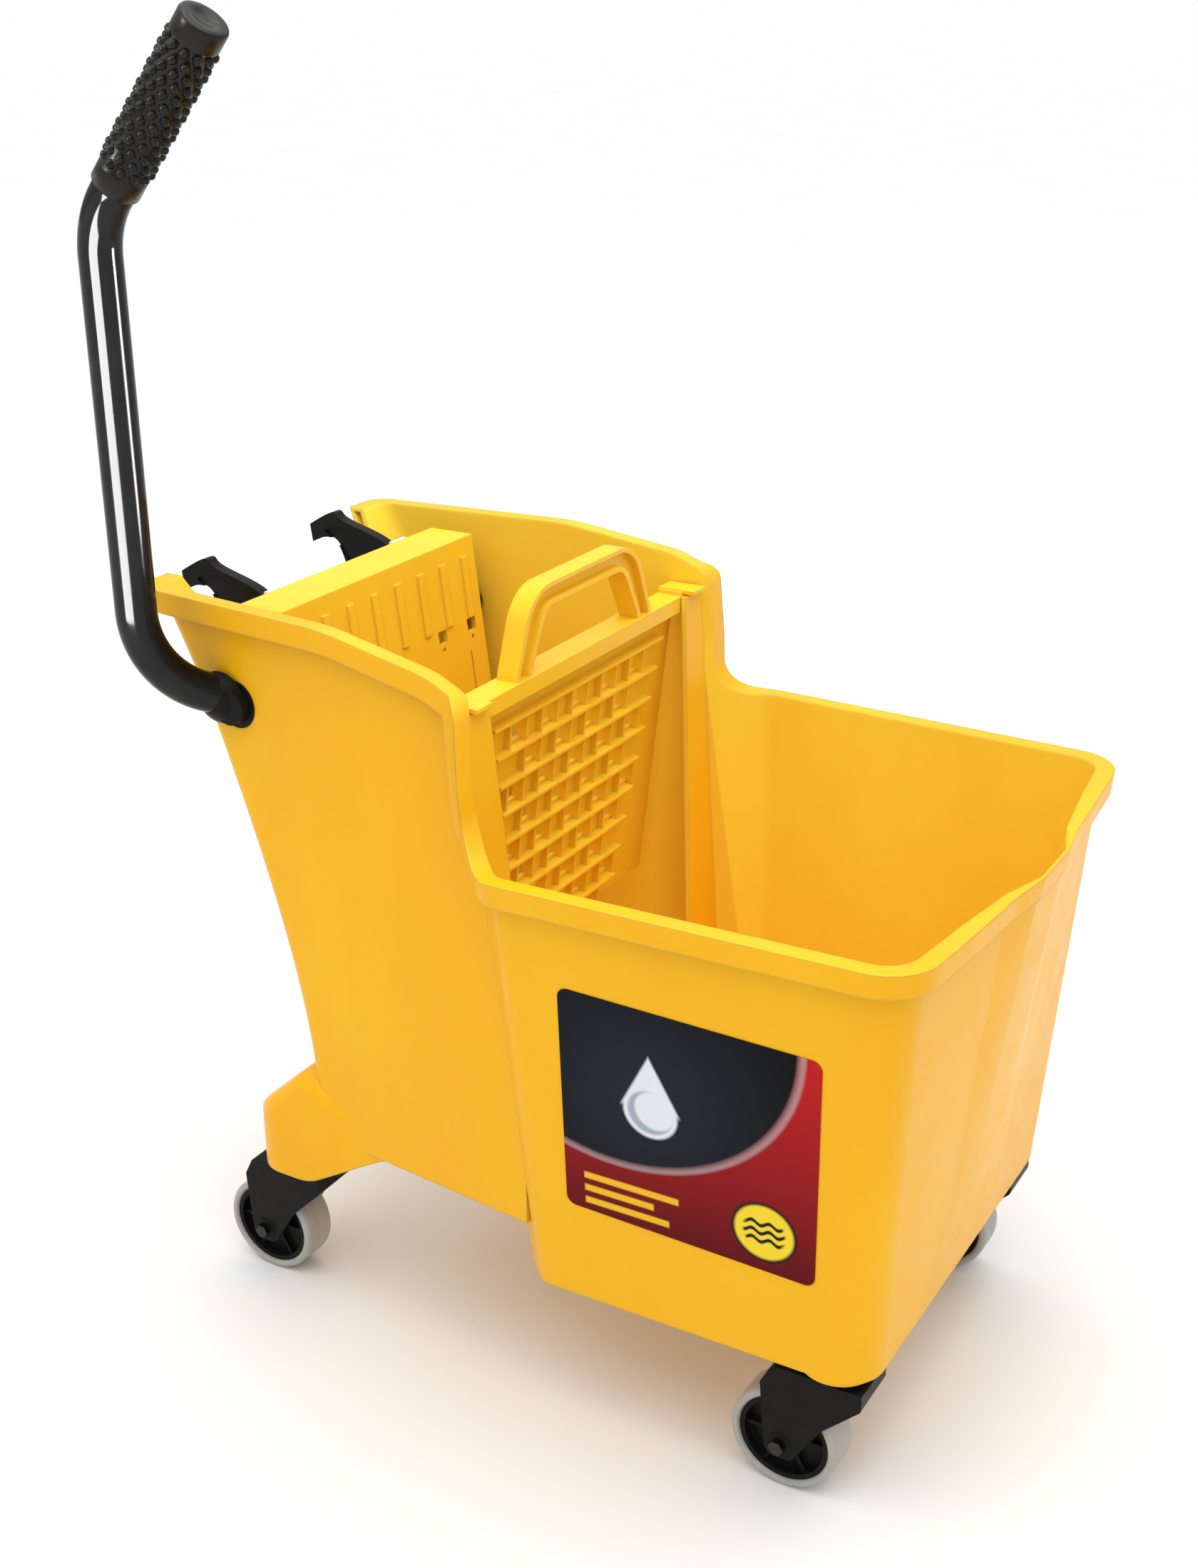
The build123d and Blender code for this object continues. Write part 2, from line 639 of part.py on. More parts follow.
def tyre(x, y):
    """Non-marking tread with rounded shoulders."""
    axle = x - TRAIL
    half = TREAD / 2
    section = outline([(32.5, -half + 2.5), (34, -half + 0.5), (WHEEL_R, -half + 1),
                       (WHEEL_R, half - 1), (34, half - 0.5), (32.5, half - 2.5)],
                      ((2, 4), (3, 4)))
    ring = revolve(section, axis=Axis.Y)
    return Pos(axle, y, WHEEL_R) * ring


# ---- label --------------------------------------------------------------------------------------
def label_panel(wall_form):
    """Plain rounded panel that lies on the basin's side wall."""
    face = outline([(99.5, 188), (278, 182), (282, 351), (102, 357)],
                   [(index, 7) for index in range(4)])
    skin = basin_form(0.7, 150.0, 400.0) - wall_form
    return skin & across(Plane.XZ * face, -230, -120)


# ---- assembly -----------------------------------------------------------------------------------
CORNER_NAMES = ("front_near", "front_far", "rear_near", "rear_far")


def all_nodes():
    nodes = {
        "bucket_body": bucket_body(),
        "label_panel": label_panel(bucket_form(0)),
        "shaft_bush_near": shaft_bush(-1),
        "shaft_bush_far": shaft_bush(1),
        "plate_hinge_rod": rod_y(*PLATE_AXIS, ROD_R, -ROD_HALF, ROD_HALF),
        "lever_tube": lever_tube(),
        "lever_hub": lever_hub(),
        "lever_grip": lever_grip(),
        "cross_shaft": shaft_with_bolt_holes(),
        "shaft_collar": shaft_collar(),
        "shaft_end_cap": shaft_end_cap(),
        "press_cam_near": press_cam(-1),
        "press_cam_far": press_cam(1),
        "cam_bolts": cam_bolts(),
        "press_plate": press_plate(),
        "press_pads": press_pads(),
        "grid_plate": grid_plate(),
    }
    for name, (x, y) in zip(CORNER_NAMES, caster_spots()):
        nodes["stem_socket_" + name] = stem_socket(x, y)
        nodes["caster_stem_" + name] = caster_stem(x, y)
        nodes["caster_yoke_" + name] = caster_yoke(x, y)
        nodes["caster_axle_" + name] = caster_axle(x, y)
        nodes["caster_nut_" + name] = caster_nut(x, y)
        nodes["wheel_hub_" + name] = wheel_hub(x, y)
        nodes["tyre_" + name] = tyre(x, y)
    return nodes


def box_middle(nodes):
    """X of the middle of the whole box."""
    low = min(shape.bounding_box().min.X for shape in nodes.values())
    high = max(shape.bounding_box().max.X for shape in nodes.values())
    return (low + high) / 2


NODES = all_nodes()
MIDDLE_X = box_middle(NODES)
print("origin is", round(MIDDLE_X, 4), "mm in front of the step datum")
for node_name, node_shape in NODES.items():
    export_step(Pos(-MIDDLE_X, 0, 0) * node_shape, "parts/" + node_name + ".step")
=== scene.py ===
import json
import math

import bmesh
import bpy
from mathutils import Matrix, Vector


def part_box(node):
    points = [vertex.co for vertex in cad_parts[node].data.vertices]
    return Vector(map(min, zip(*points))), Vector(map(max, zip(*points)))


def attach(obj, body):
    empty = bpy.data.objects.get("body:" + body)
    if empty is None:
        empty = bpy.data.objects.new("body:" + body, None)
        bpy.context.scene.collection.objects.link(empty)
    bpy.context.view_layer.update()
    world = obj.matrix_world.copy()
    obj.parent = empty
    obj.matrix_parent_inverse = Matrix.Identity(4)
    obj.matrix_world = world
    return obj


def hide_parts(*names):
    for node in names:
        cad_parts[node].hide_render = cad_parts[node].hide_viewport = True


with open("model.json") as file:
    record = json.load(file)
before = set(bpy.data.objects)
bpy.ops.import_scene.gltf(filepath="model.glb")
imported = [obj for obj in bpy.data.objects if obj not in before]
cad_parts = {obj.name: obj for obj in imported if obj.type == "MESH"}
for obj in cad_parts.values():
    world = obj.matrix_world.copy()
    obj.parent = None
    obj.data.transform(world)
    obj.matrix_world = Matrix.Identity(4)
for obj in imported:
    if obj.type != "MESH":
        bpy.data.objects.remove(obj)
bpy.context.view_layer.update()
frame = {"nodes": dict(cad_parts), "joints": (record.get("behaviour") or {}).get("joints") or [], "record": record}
NODES = frame["nodes"]
JOINTS = {joint["name"]: joint for joint in frame["joints"]}
MM = 0.001


# ---- camera -------------------------------------------------------------------------------------
CAMERA_PLACE = (0.64571, -1.11848, 0.94829)
CAMERA_AZIMUTH = 30.588
CAMERA_ELEVATION = 22.522
CAMERA_ROLL = -0.368
CAMERA_LENS = 45.21


def make_camera():
    """A camera in the frame of the part: its azimuth is measured from -Y towards +X."""
    azimuth, elevation, roll = (
        math.radians(angle) for angle in (CAMERA_AZIMUTH, CAMERA_ELEVATION, CAMERA_ROLL))
    back = Vector((math.sin(azimuth) * math.cos(elevation),
                   -math.cos(azimuth) * math.cos(elevation), math.sin(elevation)))
    level_right = Vector((math.cos(azimuth), math.sin(azimuth), 0))
    level_up = back.cross(level_right)
    right = level_right * math.cos(roll) + level_up * math.sin(roll)
    up = level_up * math.cos(roll) - level_right * math.sin(roll)
    data = bpy.data.cameras.new("camera")
    data.lens = CAMERA_LENS
    data.sensor_width = 36.0
    camera = bpy.data.objects.new("camera", data)
    turn = Matrix((right, up, back)).transposed().to_4x4()
    camera.matrix_world = Matrix.Translation(CAMERA_PLACE) @ turn
    bpy.context.scene.collection.objects.link(camera)
    bpy.context.scene.camera = camera


# ---- materials ----------------------------------------------------------------------------------
class Shader:
    """A node material under construction, with short names for the nodes it uses."""

    def __init__(self, name, **constants):
        self.material = bpy.data.materials.new(name)
        self.material.use_nodes = True
        self.tree = self.material.node_tree
        self.surface = self.tree.nodes["Principled BSDF"]
        for socket, value in constants.items():
            self.surface.inputs[socket.replace("_", " ")].default_value = value
        self.place = self.node("ShaderNodeTexCoord").outputs["Object"]

    def node(self, kind, **settings):
        node = self.tree.nodes.new(kind)
        for key, value in settings.items():
            setattr(node, key, value)
        return node

    def feed(self, socket, value):
        if hasattr(value, "is_output"):
            self.tree.links.new(value, socket)
        else:
            socket.default_value = value

    def math(self, operation, a, b=0.0, clamp=False):
        node = self.node("ShaderNodeMath", operation=operation, use_clamp=clamp)
        self.feed(node.inputs[0], a)
        self.feed(node.inputs[1], b)
        return node.outputs[0]

    def noise(self, scale, detail=2.0, roughness=0.5, stretch=None):
        node = self.node("ShaderNodeTexNoise")
        node.inputs["Scale"].default_value = scale
        node.inputs["Detail"].default_value = detail
        node.inputs["Roughness"].default_value = roughness
        place = self.place
        if stretch:
            mapping = self.node("ShaderNodeMapping")
            mapping.inputs["Scale"].default_value = stretch
            self.feed(mapping.inputs["Vector"], place)
            place = mapping.outputs[0]
        self.feed(node.inputs["Vector"], place)
        return node.outputs["Fac"]

    def remap(self, value, low, high, to_low, to_high):
        node = self.node("ShaderNodeMapRange", clamp=True)
        for socket, number in zip(node.inputs[1:5], (low, high, to_low, to_high)):
            socket.default_value = number
        self.feed(node.inputs[0], value)
        return node.outputs[0]

    def blend(self, share, first, second):
        node = self.node("ShaderNodeMix", data_type="RGBA")
        self.feed(node.inputs[0], share)
        self.feed(node.inputs[6], first)
        self.feed(node.inputs[7], second)
        return node.outputs[2]

    def edge_normal(self, radius):
        node = self.node("ShaderNodeBevel", samples=4)
        node.inputs["Radius"].default_value = radius
        return node.outputs[0]

    def edge_mask(self, normal):
        """1 where the rounded normal leaves the flat one, at sharp edges, and 0 on open faces."""
        flat = self.node("ShaderNodeNewGeometry").outputs["Normal"]
        product = self.node("ShaderNodeVectorMath", operation="DOT_PRODUCT")
        self.feed(product.inputs[0], normal)
        self.feed(product.inputs[1], flat)
        return self.remap(product.outputs["Value"], 0.78, 0.99, 1.0, 0.0)

    def inward_mask(self):
        """1 on faces turned to the vertical line through the origin, 0 on those turned away."""
        from_axis = self.node("ShaderNodeVectorMath", operation="MULTIPLY")
        self.feed(from_axis.inputs[0], self.place)
        from_axis.inputs[1].default_value = (1.0, 1.0, 0.0)
        product = self.node("ShaderNodeVectorMath", operation="DOT_PRODUCT")
        self.feed(product.inputs[0], from_axis.outputs[0])
        self.feed(product.inputs[1], self.node("ShaderNodeNewGeometry").outputs["Normal"])
        return self.remap(product.outputs["Value"], -0.05, 0.0, 1.0, 0.0)

    def bump(self, height, depth, strength, normal=None):
        node = self.node("ShaderNodeBump")
        node.inputs["Strength"].default_value = strength
        node.inputs["Distance"].default_value = depth
        self.feed(node.inputs["Height"], height)
        if normal is not None:
            self.feed(node.inputs["Normal"], normal)
        return node.outputs[0]

    def finish(self, colour=None, roughness=None, normal=None):
        for name, value in (("Base Color", colour), ("Roughness", roughness), ("Normal", normal)):
            if value is not None:
                self.feed(self.surface.inputs[name], value)
        return self.material


def grey(value):
    """A neutral colour for a colour socket."""
    return (value, value, value, 1.0)


def yellow_plastic(name, edge_radius, hollow):
    """Satin yellow polyethylene: a faint flow pattern, fine pebbling and paler edges, a painted highlight.

    Faces inside the basin are painted paler, a painted sheen: the inward ones of a hollow piece, and all of any
    other.
    """
    s = Shader(name, Specular_IOR_Level=0.15)
    deep, fresh, pale = (0.84, 0.415, 0.006, 1), (0.88, 0.460, 0.008, 1), (0.95, 0.67, 0.12, 1)
    flow = s.remap(s.noise(7.0, 4.0, 0.55, stretch=(1.0, 1.0, 0.35)), 0.35, 0.65, 0.0, 1.0)
    if hollow:
        # painted sheen: inward faces are blended towards a paler, whiter yellow
        inner_sheen = s.blend(flow, (0.90, 0.60, 0.040, 1), (0.93, 0.66, 0.055, 1))
        colour = s.blend(s.inward_mask(), s.blend(flow, deep, fresh), inner_sheen)
    else:
        # painted sheen: a piece that sits inside the basin is paler yellow on every face
        colour = s.blend(flow, (0.88, 0.53, 0.022, 1), (0.91, 0.58, 0.030, 1))
    rounded = s.edge_normal(edge_radius)
    # painted highlight: sharp edges are lightened towards a pale yellow, patchily by noise
    edge_highlight = s.math("MULTIPLY", s.edge_mask(rounded), s.remap(s.noise(90), 0.3, 0.7, 0.35, 0.75))
    colour = s.blend(edge_highlight, colour, pale)
    roughness = s.remap(s.noise(35.0, 3.0), 0.3, 0.7, 0.27, 0.38)
    pebble = s.bump(s.noise(850.0, 2.0), 0.05 * MM, 0.25, rounded)
    waves = s.bump(s.noise(16.0, 1.5), 0.9 * MM, 0.22, pebble)
    return s.finish(colour, roughness, waves)


def black_plastic():
    """Satin black nylon, a little greyer along its edges."""
    s = Shader("black_plastic", Specular_IOR_Level=0.08)
    colour = s.blend(s.noise(60.0, 3.0), grey(0.005), grey(0.012))
    rounded = s.edge_normal(0.9 * MM)
    colour = s.blend(s.math("MULTIPLY", s.edge_mask(rounded), 0.6), colour, grey(0.03))
    roughness = s.remap(s.noise(120.0, 3.0), 0.3, 0.7, 0.30, 0.44)
    return s.finish(colour, roughness, s.bump(s.noise(1500.0), 0.04 * MM, 0.35, rounded))


def black_tube():
    """Glossy black coating with a slight ripple."""
    s = Shader("black_tube", Specular_IOR_Level=0.12)
    colour = s.blend(s.noise(30.0, 4.0), grey(0.001), grey(0.003))
    roughness = s.remap(s.noise(45.0, 4.0, stretch=(1, 1, 0.2)), 0.3, 0.7, 0.06, 0.14)
    return s.finish(colour, roughness, s.bump(s.noise(140.0, 2.0), 0.04 * MM, 0.2))


def grip_rubber():
    """Satin black rubber with a coarse skin."""
    s = Shader("grip_rubber", Specular_IOR_Level=0.25)
    colour = s.blend(s.noise(160.0, 4.0), (0.004, 0.0035, 0.0035, 1), (0.011, 0.010, 0.009, 1))
    roughness = s.remap(s.noise(220.0, 3.0), 0.3, 0.7, 0.20, 0.34)
    return s.finish(colour, roughness, s.bump(s.noise(1300.0, 3.0), 0.12 * MM, 0.4))


def steel(name, dark, light, rough_low, rough_high):
    """Plated steel with fine turning marks."""
    s = Shader(name, Metallic=1.0)
    colour = s.blend(s.noise(300.0, 3.0), dark, light)
    roughness = s.remap(s.noise(500.0, 3.0, stretch=(1, 0.1, 1)), 0.3, 0.7, rough_low, rough_high)
    return s.finish(colour, roughness, s.edge_normal(0.4 * MM))


def pad_plastic():
    """Waxy off-white acetal."""
    s = Shader("pad_plastic", Subsurface_Weight=0.1, Subsurface_Scale=0.003)
    colour = s.blend(s.noise(60.0, 3.0), (0.70, 0.68, 0.62, 1), (0.80, 0.78, 0.72, 1))
    roughness = s.remap(s.noise(200.0), 0.3, 0.7, 0.3, 0.45)
    return s.finish(colour, roughness, s.edge_normal(0.5 * MM))


def tread_rubber():
    """Warm grey non-marking tread with scuffs round the rolling face."""
    s = Shader("tread_rubber", Specular_IOR_Level=0.35)
    base = s.blend(s.noise(45.0, 4.0), (0.33, 0.315, 0.285, 1), (0.46, 0.445, 0.41, 1))
    scuff = s.remap(s.noise(260.0, 5.0, 0.65, stretch=(1, 0.25, 1)), 0.56, 0.72, 0.0, 0.45)
    colour = s.blend(scuff, base, (0.20, 0.185, 0.16, 1))
    roughness = s.remap(s.noise(150.0, 3.0), 0.3, 0.7, 0.38, 0.58)
    return s.finish(colour, roughness, s.bump(s.noise(900.0, 3.0), 0.08 * MM, 0.4))


def label_print():
    """Glossy printed panel with no lettering: a dark field over a red one, a drop, bars, a disc.

    u and v run from its lower left corner, both in panel widths.
    """
    s = Shader("label_print", Specular_IOR_Level=0.08)
    low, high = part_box("label_panel")
    axes = s.node("ShaderNodeSeparateXYZ")
    s.feed(axes.inputs[0], s.place)
    width, height = high.x - low.x, high.z - low.z
    u = s.math("DIVIDE", s.math("SUBTRACT", axes.outputs["X"], low.x), width)
    v = s.math("DIVIDE", s.math("SUBTRACT", axes.outputs["Z"], low.z), width)
    top = height / width

    def distance(centre_u, centre_v, squeeze=1.0):
        across = s.math("SUBTRACT", u, centre_u)
        up = s.math("MULTIPLY", s.math("SUBTRACT", v, centre_v), squeeze)
        return s.math("SQRT", s.math("ADD", s.math("MULTIPLY", across, across),
                                     s.math("MULTIPLY", up, up)))

    def inside(value, edge, soft=0.006):
        return s.remap(value, edge - soft, edge + soft, 1.0, 0.0)

    def both(first, second):
        return s.math("MULTIPLY", first, second)

    def bar(left, right, bottom, up):
        across = s.math("ABSOLUTE", s.math("SUBTRACT", u, (left + right) / 2))
        rise = s.math("ABSOLUTE", s.math("SUBTRACT", v, (bottom + up) / 2))
        return both(inside(across, (right - left) / 2, 0.003),
                    inside(rise, (up - bottom) / 2, 0.003))

    glow = s.remap(distance(0.35, top * 0.62), 0.0, 0.62, 1.0, 0.0)
    dark = s.blend(glow, (0.002, 0.002, 0.003, 1), (0.014, 0.017, 0.027, 1))
    red = s.blend(s.remap(v, 0.0, top, 0.0, 1.0),
                  (0.10, 0.002, 0.004, 1), (0.50, 0.012, 0.014, 1))
    from_corner = distance(0.22, top * 0.98, 1.08)
    field = inside(from_corner, 0.70, 0.012)
    colour = s.blend(field, red, dark)
    border = both(inside(from_corner, 0.725), s.math("SUBTRACT", 1.0, field))
    colour = s.blend(s.math("MULTIPLY", border, 0.5), colour, (0.42, 0.40, 0.40, 1))

    drop_u, drop_v, drop_size = 0.36, top * 0.56, 0.105
    bulb = inside(distance(drop_u, drop_v), drop_size)
    flank = s.math("ADD", s.math("ABSOLUTE", s.math("SUBTRACT", u, drop_u)),
                   s.math("MULTIPLY", s.math("SUBTRACT", v, drop_v + drop_size * 0.45), 0.52))
    cone = both(inside(flank, drop_size * 0.9), s.remap(v, drop_v, drop_v + 0.02, 0.0, 1.0))
    drop = s.math("MAXIMUM", bulb, cone)
    colour = s.blend(drop, colour, (0.70, 0.74, 0.78, 1))
    far_side = s.math("SUBTRACT", 1.0, inside(distance(drop_u + 0.018, drop_v + 0.012), 0.078))
    shade = both(inside(distance(drop_u, drop_v), 0.088), far_side)
    colour = s.blend(s.math("MULTIPLY", shade, 0.75), colour, (0.22, 0.27, 0.36, 1))

    bars = bar(0.08, 0.46, 0.17, 0.198)
    for left, right, bottom, up in ((0.08, 0.36, 0.115, 0.143), (0.08, 0.42, 0.06, 0.088)):
        bars = s.math("MAXIMUM", bars, bar(left, right, bottom, up))
    colour = s.blend(bars, colour, (0.80, 0.46, 0.02, 1))

    disc = distance(0.79, 0.17)
    colour = s.blend(inside(disc, 0.125), colour, grey(0.01))
    colour = s.blend(inside(disc, 0.112), colour, (0.85, 0.62, 0.03, 1))
    waves = s.math("MULTIPLY", s.math("SINE", s.math("MULTIPLY", u, 95.0)), 0.008)
    for level in (0.135, 0.170, 0.205):
        lift = s.math("SUBTRACT", s.math("SUBTRACT", v, level), waves)
        mark = both(inside(s.math("ABSOLUTE", lift), 0.008, 0.003), inside(disc, 0.080))
        colour = s.blend(mark, colour, grey(0.01))

    roughness = s.remap(s.noise(70.0, 3.0), 0.3, 0.7, 0.16, 0.26)
    return s.finish(colour, roughness, s.bump(s.noise(400.0), 0.02 * MM, 0.15))


# ---- mesh building ------------------------------------------------------------------------------
def new_piece(name, mesh_data, material, body, replaced):
    """Makes an object from (vertices, faces) in metres, in place of a CAD node of that body."""
    vertices, faces = mesh_data
    mesh = bpy.data.meshes.new(name)
    mesh.from_pydata(vertices, [], faces)
    work = bmesh.new()
    work.from_mesh(mesh)
    bmesh.ops.recalc_face_normals(work, faces=work.faces)
    work.to_mesh(mesh)
    work.free()
    mesh.polygons.foreach_set("use_smooth", [True] * len(mesh.polygons))
    mesh.materials.append(material)
    piece = bpy.data.objects.new(name, mesh)
    bpy.context.scene.collection.objects.link(piece)
    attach(piece, body)
    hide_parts(replaced)
    return piece


def join_meshes(parts):
    """Several (vertices, faces) as one."""
    vertices, faces = [], []
    for part_vertices, part_faces in parts:
        base = len(vertices)
        vertices += part_vertices
        faces += [tuple(index + base for index in face) for face in part_faces]
    return vertices, faces


def rings_to_mesh(rings, close_start=True, close_end=True, loop=False):
    """Skins a list of rings that have the same number of points, as a tube or as a closed loop."""
    count = len(rings[0])
    vertices = [point for ring in rings for point in ring]
    faces = []
    spans = len(rings) if loop else len(rings) - 1
    for row in range(spans):
        following = (row + 1) % len(rings)
        for column in range(count):
            after = (column + 1) % count
            faces.append((row * count + column, row * count + after,
                          following * count + after, following * count + column))
    if not loop and close_start:
        faces.append(tuple(reversed(range(count))))
    if not loop and close_end:
        faces.append(tuple((len(rings) - 1) * count + column for column in range(count)))
    return vertices, faces


def lathe(profile, origin, axis, segments, closed=False):
    """Turns a profile of (radius, distance along the axis) about an axis.

    The profile is an open line whose ends are capped, or with closed set, an outline.
    """
    axis = axis.normalized()
    side = axis.orthogonal().normalized()
    other = axis.cross(side)
    rings = []
    for radius, along in profile:
        ring = []
        for step in range(segments):
            angle = 2 * math.pi * step / segments
            out = side * math.cos(angle) + other * math.sin(angle)
            ring.append(origin + axis * along + out * radius)
        rings.append(ring)
    return rings_to_mesh(rings, not closed, not closed, closed)


def rounded_path(corners, radii, steps):
    """Points along straight runs joined by arcs of the given radii at the inner corners."""
    points = [corners[0]]
    for before, corner, after, radius in zip(corners, corners[1:], corners[2:], radii):
        into, out = (corner - before).normalized(), (after - corner).normalized()
        half_turn = into.angle(out) / 2
        reach = radius * math.tan(half_turn)
        start, end = corner - into * reach, corner + out * reach
        inward = (out - into).normalized()
        centre = corner + inward * (radius / math.cos(half_turn))
        axis = into.cross(out).normalized()
        for step in range(steps + 1):
            turn = Matrix.Rotation(2 * half_turn * step / steps, 3, axis)
            points.append(centre + turn @ (start - centre))
    points.append(corners[-1])
    return points


def tube_along(points, radius, segments):
    """A round tube along points, its rings carried from one to the next without twist."""
    rings = []
    side = None
    for index, point in enumerate(points):
        ahead = points[min(index + 1, len(points) - 1)] - points[max(index - 1, 0)]
        ahead.normalize()
        side = ahead.orthogonal() if side is None else side - ahead * side.dot(ahead)
        side.normalize()
        other = ahead.cross(side)
        rings.append([point + (side * math.cos(2 * math.pi * step / segments)
                               + other * math.sin(2 * math.pi * step / segments)) * radius
                      for step in range(segments)])
    return rings_to_mesh(rings)


def cut_beyond_y(mesh_data, limit):
    """Cuts a closed mesh off flat where y passes a limit, and closes the cut."""
    work = bmesh.new()
    corners = [work.verts.new(point) for point in mesh_data[0]]
    for face in mesh_data[1]:
        work.faces.new([corners[index] for index in face])
    everything = work.verts[:] + work.edges[:] + work.faces[:]
    cut = bmesh.ops.bisect_plane(work, geom=everything, plane_co=(0, limit, 0),
                                 plane_no=(0, 1, 0), clear_outer=True)
    rim = [item for item in cut["geom_cut"] if isinstance(item, bmesh.types.BMEdge)]
    bmesh.ops.edgeloop_fill(work, edges=rim)
    work.verts.index_update()
    vertices = [vertex.co.copy() for vertex in work.verts]
    faces = [tuple(vertex.index for vertex in face.verts) for face in work.faces]
    work.free()
    return vertices, faces


# ---- lever --------------------------------------------------------------------------------------
TUBE_RADIUS = 14.0 * MM
LOW_BEND, HIGH_BEND = 70.0 * MM, 60.0 * MM              # radii of the tube's centre line
BENDS_FROM_PIVOT = 4.0 * MM, 326.5 * MM                 # heights of both corners above the pivot
TOWARDS_WALL = Vector((0.55, 0.835, 0)).normalized()    # from the low corner to the tower
GRIP_LEAN = math.radians(40.2)
GRIP_START = 28.0 * MM                                  # from the high corner, along the lean
GRIP_LENGTH = 127.0 * MM
GRIP_COLLAR = 15.0 * MM                                 # length of the plain collar at either end
GRIP_THIN, GRIP_WIDE = 14.9 * MM, 16.1 * MM             # radii between the collars and on them
STUD_ROWS, STUDS_AROUND = 13, 11
STUD_SIZE, STUD_HEIGHT = 3.9 * MM, 2.9 * MM


def lever_corners():
    """The tube's corner points: the low bend beside the hub, and the bend below the grip."""
    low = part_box("lever_tube")[0]
    pivot = Vector(JOINTS["lever_swing"]["pos_m"])
    return [Vector((low.x + TUBE_RADIUS, low.y + TUBE_RADIUS, pivot.z + height))
            for height in BENDS_FROM_PIVOT]


def grip_direction():
    """The way that the tube leans inside the grip."""
    return Vector((math.sin(GRIP_LEAN), 0, math.cos(GRIP_LEAN)))


def make_lever(material):
    """The bent tube, from its flat end beside the tower's wall to inside the grip."""
    bottom, top = lever_corners()
    corners = [bottom + TOWARDS_WALL * (LOW_BEND + 0.1 * MM), bottom, top,
               top + grip_direction() * 60 * MM]
    wall_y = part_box("lever_tube")[1].y
    path = rounded_path(corners, [LOW_BEND, HIGH_BEND], 40)
    points = [point for point in path if point.y < wall_y + TUBE_RADIUS]
    tube = cut_beyond_y(tube_along(points, TUBE_RADIUS, 64), wall_y)
    return new_piece("lever_tube_skin", tube, material, "lever", "lever_tube")


def stud(base, outward, along):
    """A low diamond-shaped stud on the grip's surface."""
    across = outward.cross(along)
    rings = []
    for share, rise in ((1.0, -0.25), (0.86, 0.35), (0.55, 0.85), (0.2, 1.0)):
        ring = []
        for step in range(12):
            angle = 2 * math.pi * step / 12
            reach = STUD_SIZE * share * (1 - 0.16 * abs(math.sin(2 * angle)))
            ring.append(base + outward * STUD_HEIGHT * rise
                        + along * math.cos(angle) * reach + across * math.sin(angle) * reach * 0.9)
        rings.append(ring)
    return rings_to_mesh(rings, False, True)


def make_grip(material):
    """Rubber sleeve: a collar at both ends, staggered studs between them, and a closed top."""
    axis = grip_direction()
    start = lever_corners()[1] + axis * GRIP_START
    collar, thin, wide, end = GRIP_COLLAR, GRIP_THIN, GRIP_WIDE, GRIP_LENGTH
    profile = [(14.05 * MM, 0.2 * MM), (15.2 * MM, 0), (wide, 0.9 * MM), (wide, collar - 1.5 * MM),
               (wide - 0.3 * MM, collar - 0.5 * MM), (thin, collar + 0.6 * MM),
               (thin, end - collar - 0.6 * MM), (wide - 0.3 * MM, end - collar + 0.5 * MM),
               (wide, end - collar + 1.5 * MM), (wide, end - 2.2 * MM),
               (wide - 0.7 * MM, end - 0.7 * MM), (wide - 2.2 * MM, end), (8 * MM, end),
               (7.4 * MM, end - 0.6 * MM), (2 * MM, end - 0.6 * MM)]
    parts = [lathe(profile, start, axis, 72)]
    side = axis.orthogonal().normalized()
    other = axis.cross(side)
    spread = end - 2 * collar - 8 * MM
    for row in range(STUD_ROWS):
        along = collar + 4 * MM + spread * row / (STUD_ROWS - 1)
        for step in range(STUDS_AROUND):
            angle = 2 * math.pi * (step + 0.5 * (row % 2)) / STUDS_AROUND
            outward = side * math.cos(angle) + other * math.sin(angle)
            parts.append(stud(start + axis * along + outward * thin, outward, axis))
    return new_piece("grip_sleeve", join_meshes(parts), material, "lever",
                     "lever_grip")


# ---- wheels -------------------------------------------------------------------------------------
def make_tread(corner, material):
    """Tread with soft shoulders and a faint mould line round its middle."""
    name = "tyre_" + corner
    low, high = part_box(name)
    radius, half = (high.z - low.z) / 2, (high.y - low.y) / 2
    shoulder = 4.0 * MM
    side = [(32.6 * MM, half - 2.4 * MM), (33.1 * MM, half - 1.0 * MM),
            (33.8 * MM, half - 0.3 * MM)]
    arc = []
    for step in range(7):
        angle = math.radians(90 * step / 6)
        arc.append((radius - shoulder + shoulder * math.sin(angle),
                    half - shoulder * 0.9 * (1 - math.cos(angle))))
    mould_line = [(radius, 0.6 * MM), (radius - 0.12 * MM, 0.3 * MM)]
    half_profile = side + arc + mould_line
    profile = half_profile + [(r, -y) for r, y in reversed(half_profile)]
    tread = lathe(profile, (low + high) / 2, Vector((0, 1, 0)), 96, closed=True)
    new_piece("tread_" + corner, tread, material, "wheel_" + corner, name)


# ---- room ---------------------------------------------------------------------------------------
def area_light(name, place, target, width, height, power, only=None):
    """A softbox; with a collection given, it lights only what is in that collection."""
    data = bpy.data.lights.new(name, "AREA")
    data.shape = "RECTANGLE"
    data.size, data.size_y = width, height
    data.energy = power
    light = bpy.data.objects.new(name, data)
    light.location = place
    light.rotation_euler = (Vector(target) - Vector(place)).to_track_quat("-Z", "Y").to_euler()
    light.visible_camera = False
    bpy.context.scene.collection.objects.link(light)
    if only:
        light.light_linking.receiver_collection = only


FLOOR_EXTENT = 400.0
SKY_RANGE = (0.0, 0.9, 0.24, 1.62)     # strength from the horizon to nearly overhead
SKY_SEEN = 0.97                        # strength that the camera itself sees behind the floor


